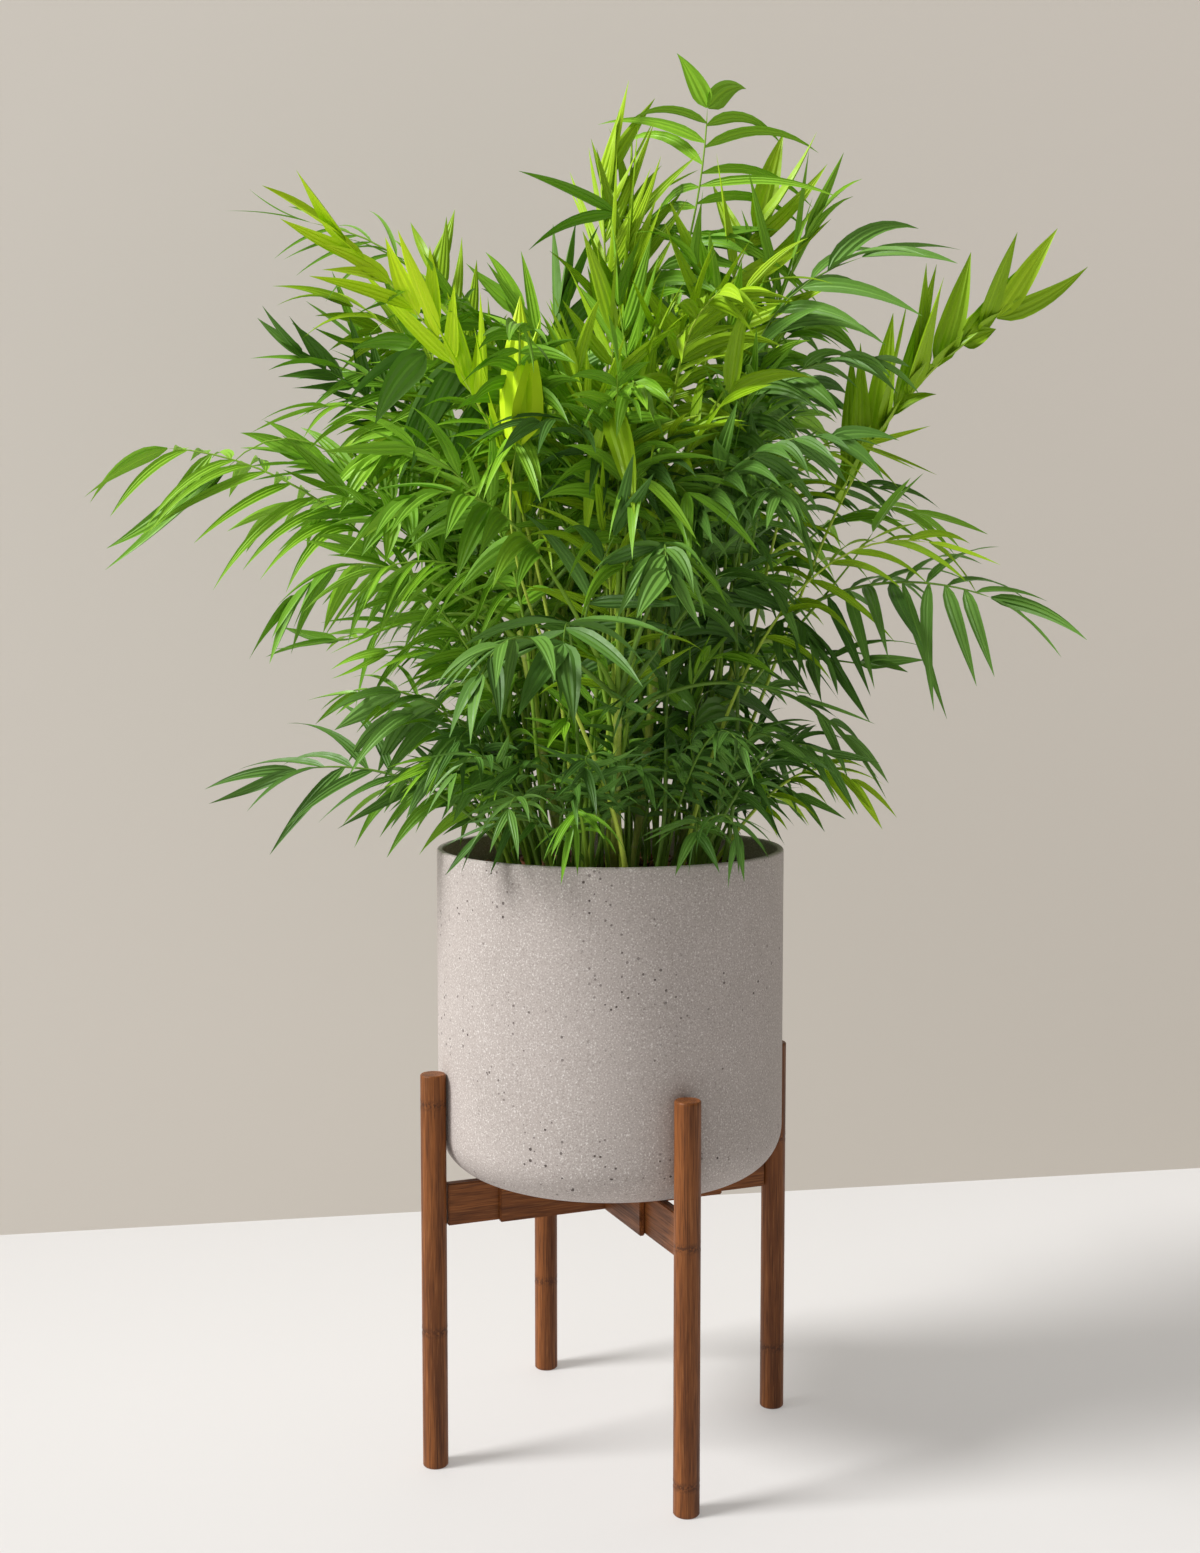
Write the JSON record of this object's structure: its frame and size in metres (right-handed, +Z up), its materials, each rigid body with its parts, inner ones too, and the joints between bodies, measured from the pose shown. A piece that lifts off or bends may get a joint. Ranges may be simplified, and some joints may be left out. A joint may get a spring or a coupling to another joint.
{
  "type": "potted parlour palm",
  "caption": "Potted parlour palm: a clump of slender canes with arching feather fronds, in a cylindrical stone pot carried by a round-legged bamboo stand with crossed bars.",
  "frame": {"origin": "on the floor, under the centre of the whole plant's bounding box; the pot's axis stands a few centimetres from it", "axes": "+Z up, -Y the front that faces the viewer, +X the viewer's right"},
  "size_m": [0.8608, 0.7012, 1.1933],
  "materials": {
    "pot": "matte",
    "soil": "matte",
    "stand": "satin",
    "cane": "satin",
    "leaf_deep": "satin",
    "leaf_mid": "satin",
    "leaf_light": "satin",
    "leaf_fresh": "satin"
  },
  "bodies": {
    "root": {"leg_front_right": "stand", "tongue_front_right": "stand", "leg_back_right": "stand", "tongue_back_right": "stand", "leg_back_left": "stand", "tongue_back_left": "stand", "leg_front_left": "stand", "tongue_front_left": "stand", "cross_bar_front_back": "stand", "cross_bar_left_right": "stand", "pot": "pot", "soil": "soil", "cane_1": "cane", "cane_2": "cane", "cane_3": "cane", "cane_4": "cane", "cane_5": "cane", "cane_6": "cane", "cane_7": "cane", "cane_8": "cane", "cane_9": "cane", "frond_star": "leaf_deep", "frond_left_arch": "leaf_mid", "frond_spear": "leaf_fresh", "frond_cleft_leaf": "leaf_fresh", "frond_crown_top": "leaf_mid", "frond_right_high": "leaf_light", "frond_right_arch": "leaf_mid", "frond_right_bright": "leaf_fresh", "frond_right_dark": "leaf_deep", "frond_low_left": "leaf_mid", "frond_mid_left": "leaf_mid", "frond_low_right": "leaf_deep", "frond_right_middle": "leaf_deep", "frond_left_dark": "leaf_deep", "frond_left_upright": "leaf_mid", "frond_right_fan": "leaf_light", "frond_bright_tuft": "leaf_fresh", "frond_right_upright": "leaf_mid", "frond_left_upper": "leaf_mid", "frond_back_1": "leaf_mid", "frond_back_2": "leaf_light", "frond_back_3": "leaf_mid", "frond_back_4": "leaf_light", "frond_back_5": "leaf_mid", "fronds_cane_1": "leaf_mid", "fronds_cane_2": "leaf_deep", "fronds_cane_3": "leaf_light", "fronds_cane_4": "leaf_mid", "fronds_cane_5": "leaf_deep", "fronds_cane_6": "leaf_mid", "fronds_cane_7": "leaf_deep", "fronds_cane_8": "leaf_light", "fronds_cane_9": "leaf_mid", "tuft_1": "leaf_deep", "tuft_2": "leaf_deep", "tuft_3": "leaf_deep", "tuft_4": "leaf_deep", "tuft_5": "leaf_deep", "tuft_6": "leaf_deep"}
  },
  "joints": []
}
